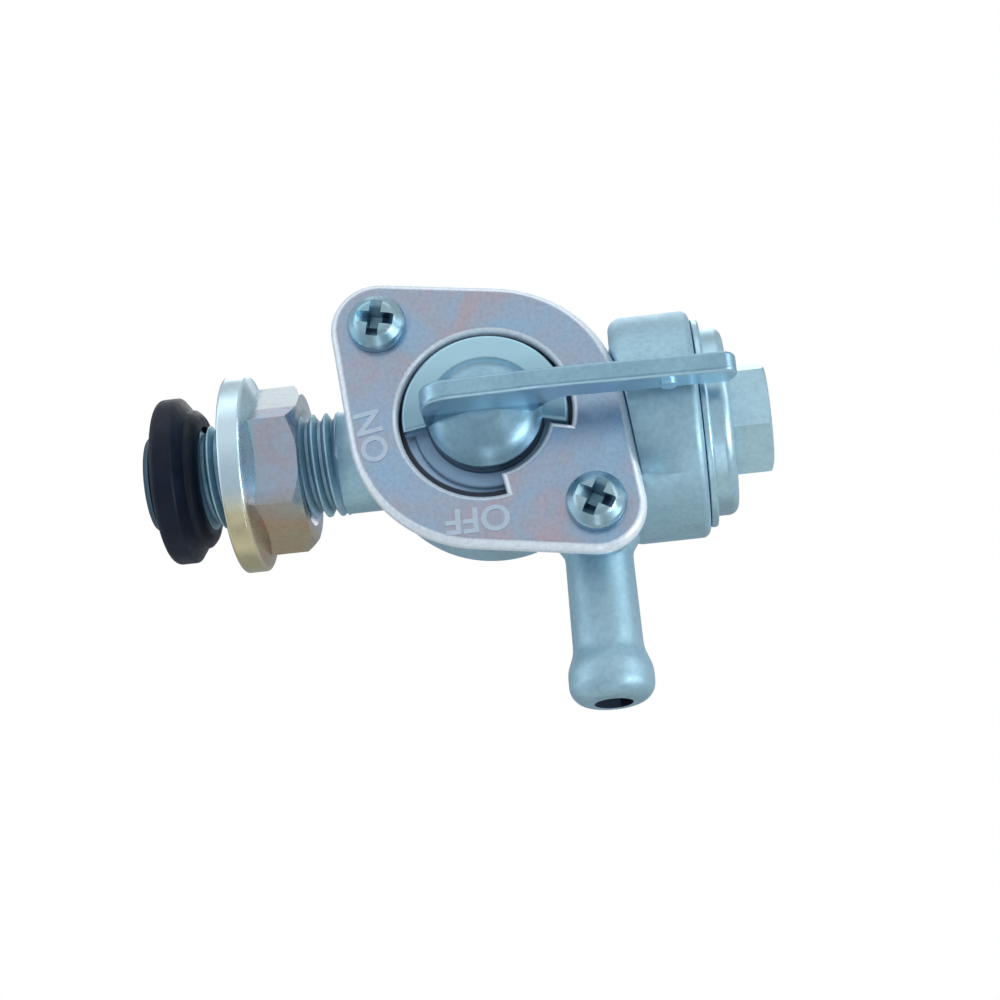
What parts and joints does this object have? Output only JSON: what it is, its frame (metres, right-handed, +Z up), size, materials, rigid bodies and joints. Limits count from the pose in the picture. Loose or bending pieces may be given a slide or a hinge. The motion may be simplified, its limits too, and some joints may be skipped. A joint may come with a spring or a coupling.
{
  "type": "fuel tap",
  "caption": "Fuel tap with threaded inlet stem, lever valve under a bolted cover plate, screwed strainer bowl, side hose barb, loose hex flange nut and rubber seal.",
  "frame": {"origin": "On the stem's axis, in the plane of the seal's tank face", "axes": "+Z up the stem into the tank, -Y out of the cover plate towards the person who turns the lever, -X along the hose barb"},
  "size_m": [0.0406, 0.0263, 0.0593],
  "materials": {
    "cast_zinc": "die-cast zinc, fine matte skin",
    "lever_zinc": "die-cast zinc, tumbled smooth",
    "bowl_zinc": "die-cast zinc, turned and tumbled",
    "plated_steel": "pressed steel, satin plated",
    "screw_steel": "bright zinc plated",
    "spring_steel": "bright spring steel",
    "nut_steel": "bright zinc plated",
    "seal_rubber": "moulded, slight sheen",
    "valve_rubber": "moulded, matte",
    "strainer_plastic": "moulded nylon",
    "gauze_brass": "fine woven gauze"
  },
  "bodies": {
    "body": {"tap_body": "cast_zinc", "cover_plate": "plated_steel", "plate_screw_upper": "screw_steel", "plate_screw_lower": "screw_steel", "wave_washer": "spring_steel", "valve_packing": "valve_rubber", "tank_seal": "seal_rubber"},
    "lever_body": {"lever": "lever_zinc"},
    "bowl_carrier": {"bowl_o_ring": "valve_rubber", "strainer_frame": "strainer_plastic", "strainer_gauze": "gauze_brass"},
    "bowl": {"strainer_bowl": "bowl_zinc"},
    "nut": {"tank_nut": "nut_steel"}
  },
  "joints": [
    {"name": "lever_turn", "type": "hinge", "parent": "body", "child": "lever_body", "pos_m": [0, 0, -0.03175], "axis": [0, -1, 0], "range_deg": [0, 90]},
    {"name": "bowl_travel", "type": "slide", "parent": "body", "child": "bowl_carrier", "axis": [0, 0, -1], "range_m": [0, 0.004]},
    {"name": "bowl_turn", "type": "hinge", "parent": "bowl_carrier", "child": "bowl", "pos_m": [0, 0, -0.05], "axis": [0, 0, -1], "range_deg": [0, 1441]},
    {"name": "nut_turn", "type": "hinge", "parent": "body", "child": "nut", "pos_m": [0, 0, -0.0107], "axis": [0, 0, 1], "range_deg": [-979, 763]}
  ],
  "couplings": [
    {"joint": "bowl_turn", "follows": "bowl_travel", "rad_per_m": 6283.2}
  ]
}
